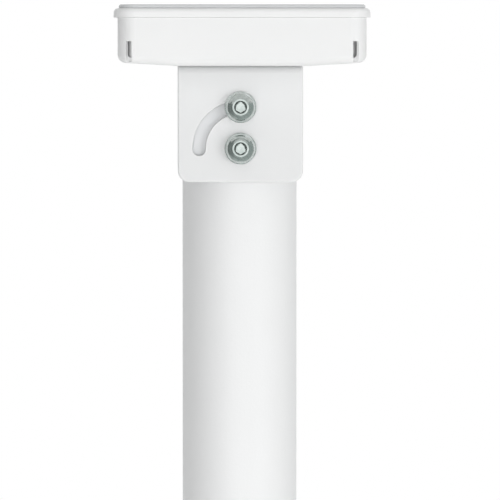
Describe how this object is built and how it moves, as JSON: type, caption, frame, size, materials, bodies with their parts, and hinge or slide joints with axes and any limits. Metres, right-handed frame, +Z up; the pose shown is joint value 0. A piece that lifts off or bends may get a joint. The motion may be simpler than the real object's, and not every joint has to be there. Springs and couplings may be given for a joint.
{
  "type": "tilting terminal post",
  "caption": "Floor post with a round base plate and a flat terminal head that tilts from level to upright on a slotted bracket.",
  "frame": {"origin": "on the floor, under the middle of the tube: the centre of the underside of the base plate", "axes": "+Z up along the tube; the tilt axis is parallel to Y; +X is the way the panel faces when the head is upright"},
  "size_m": [0.3, 0.3, 1],
  "materials": {
    "white_powder_coat": "fine satin white powder coat",
    "white_plastic": "satin white moulded plastic",
    "white_head_plastic": "satin white moulded plastic with a very fine grain",
    "zinc_plated_steel": "clear zinc plating with a slight green-grey cast",
    "cast_aluminium": "machined, dull",
    "grey_nylon": "light grey nylon",
    "black_rubber": "matt moulded rubber",
    "panel_glass": "polished, light grey printed border round a dark screen",
    "dark_module": "dark, satin",
    "circuit_board": "green solder mask"
  },
  "bodies": {
    "post": {"base_plate": "white_powder_coat", "foot_screw_1": "zinc_plated_steel", "foot_screw_2": "zinc_plated_steel", "foot_screw_3": "zinc_plated_steel", "plate_grommet": "black_rubber", "post_foot": "cast_aluminium", "base_collar": "white_plastic", "post_tube": "white_powder_coat", "pivot_block": "cast_aluminium", "post_cap": "white_plastic", "cap_grommet": "black_rubber", "saddle_front": "grey_nylon", "saddle_rear": "grey_nylon", "pivot_bush_front": "grey_nylon", "pivot_bush_rear": "grey_nylon", "pivot_screw_front": "zinc_plated_steel", "pivot_screw_rear": "zinc_plated_steel", "lock_screw_front": "zinc_plated_steel", "lock_screw_rear": "zinc_plated_steel", "pivot_washer_front": "zinc_plated_steel", "pivot_washer_rear": "zinc_plated_steel", "lock_washer_front": "zinc_plated_steel", "lock_washer_rear": "zinc_plated_steel"},
    "head": {"tilt_bracket": "white_powder_coat", "bracket_screw_1": "zinc_plated_steel", "bracket_screw_2": "zinc_plated_steel", "bracket_screw_3": "zinc_plated_steel", "bracket_screw_4": "zinc_plated_steel", "head_grommet": "black_rubber", "head_tray": "white_head_plastic", "head_cover": "white_head_plastic", "display_glass": "panel_glass", "display_module": "dark_module", "controller_board": "circuit_board", "board_connector": "dark_module", "board_screw_1": "zinc_plated_steel", "board_screw_2": "zinc_plated_steel", "board_screw_3": "zinc_plated_steel", "board_screw_4": "zinc_plated_steel", "cover_screw_1": "zinc_plated_steel", "cover_screw_2": "zinc_plated_steel", "cover_screw_3": "zinc_plated_steel", "cover_screw_4": "zinc_plated_steel", "cover_gasket": "black_rubber"}
  },
  "joints": [
    {"name": "head_tilt", "type": "hinge", "parent": "post", "child": "head", "pos_m": [0, 0, 0.9256], "axis": [0, 1, 0], "range_deg": [0, 90]}
  ]
}
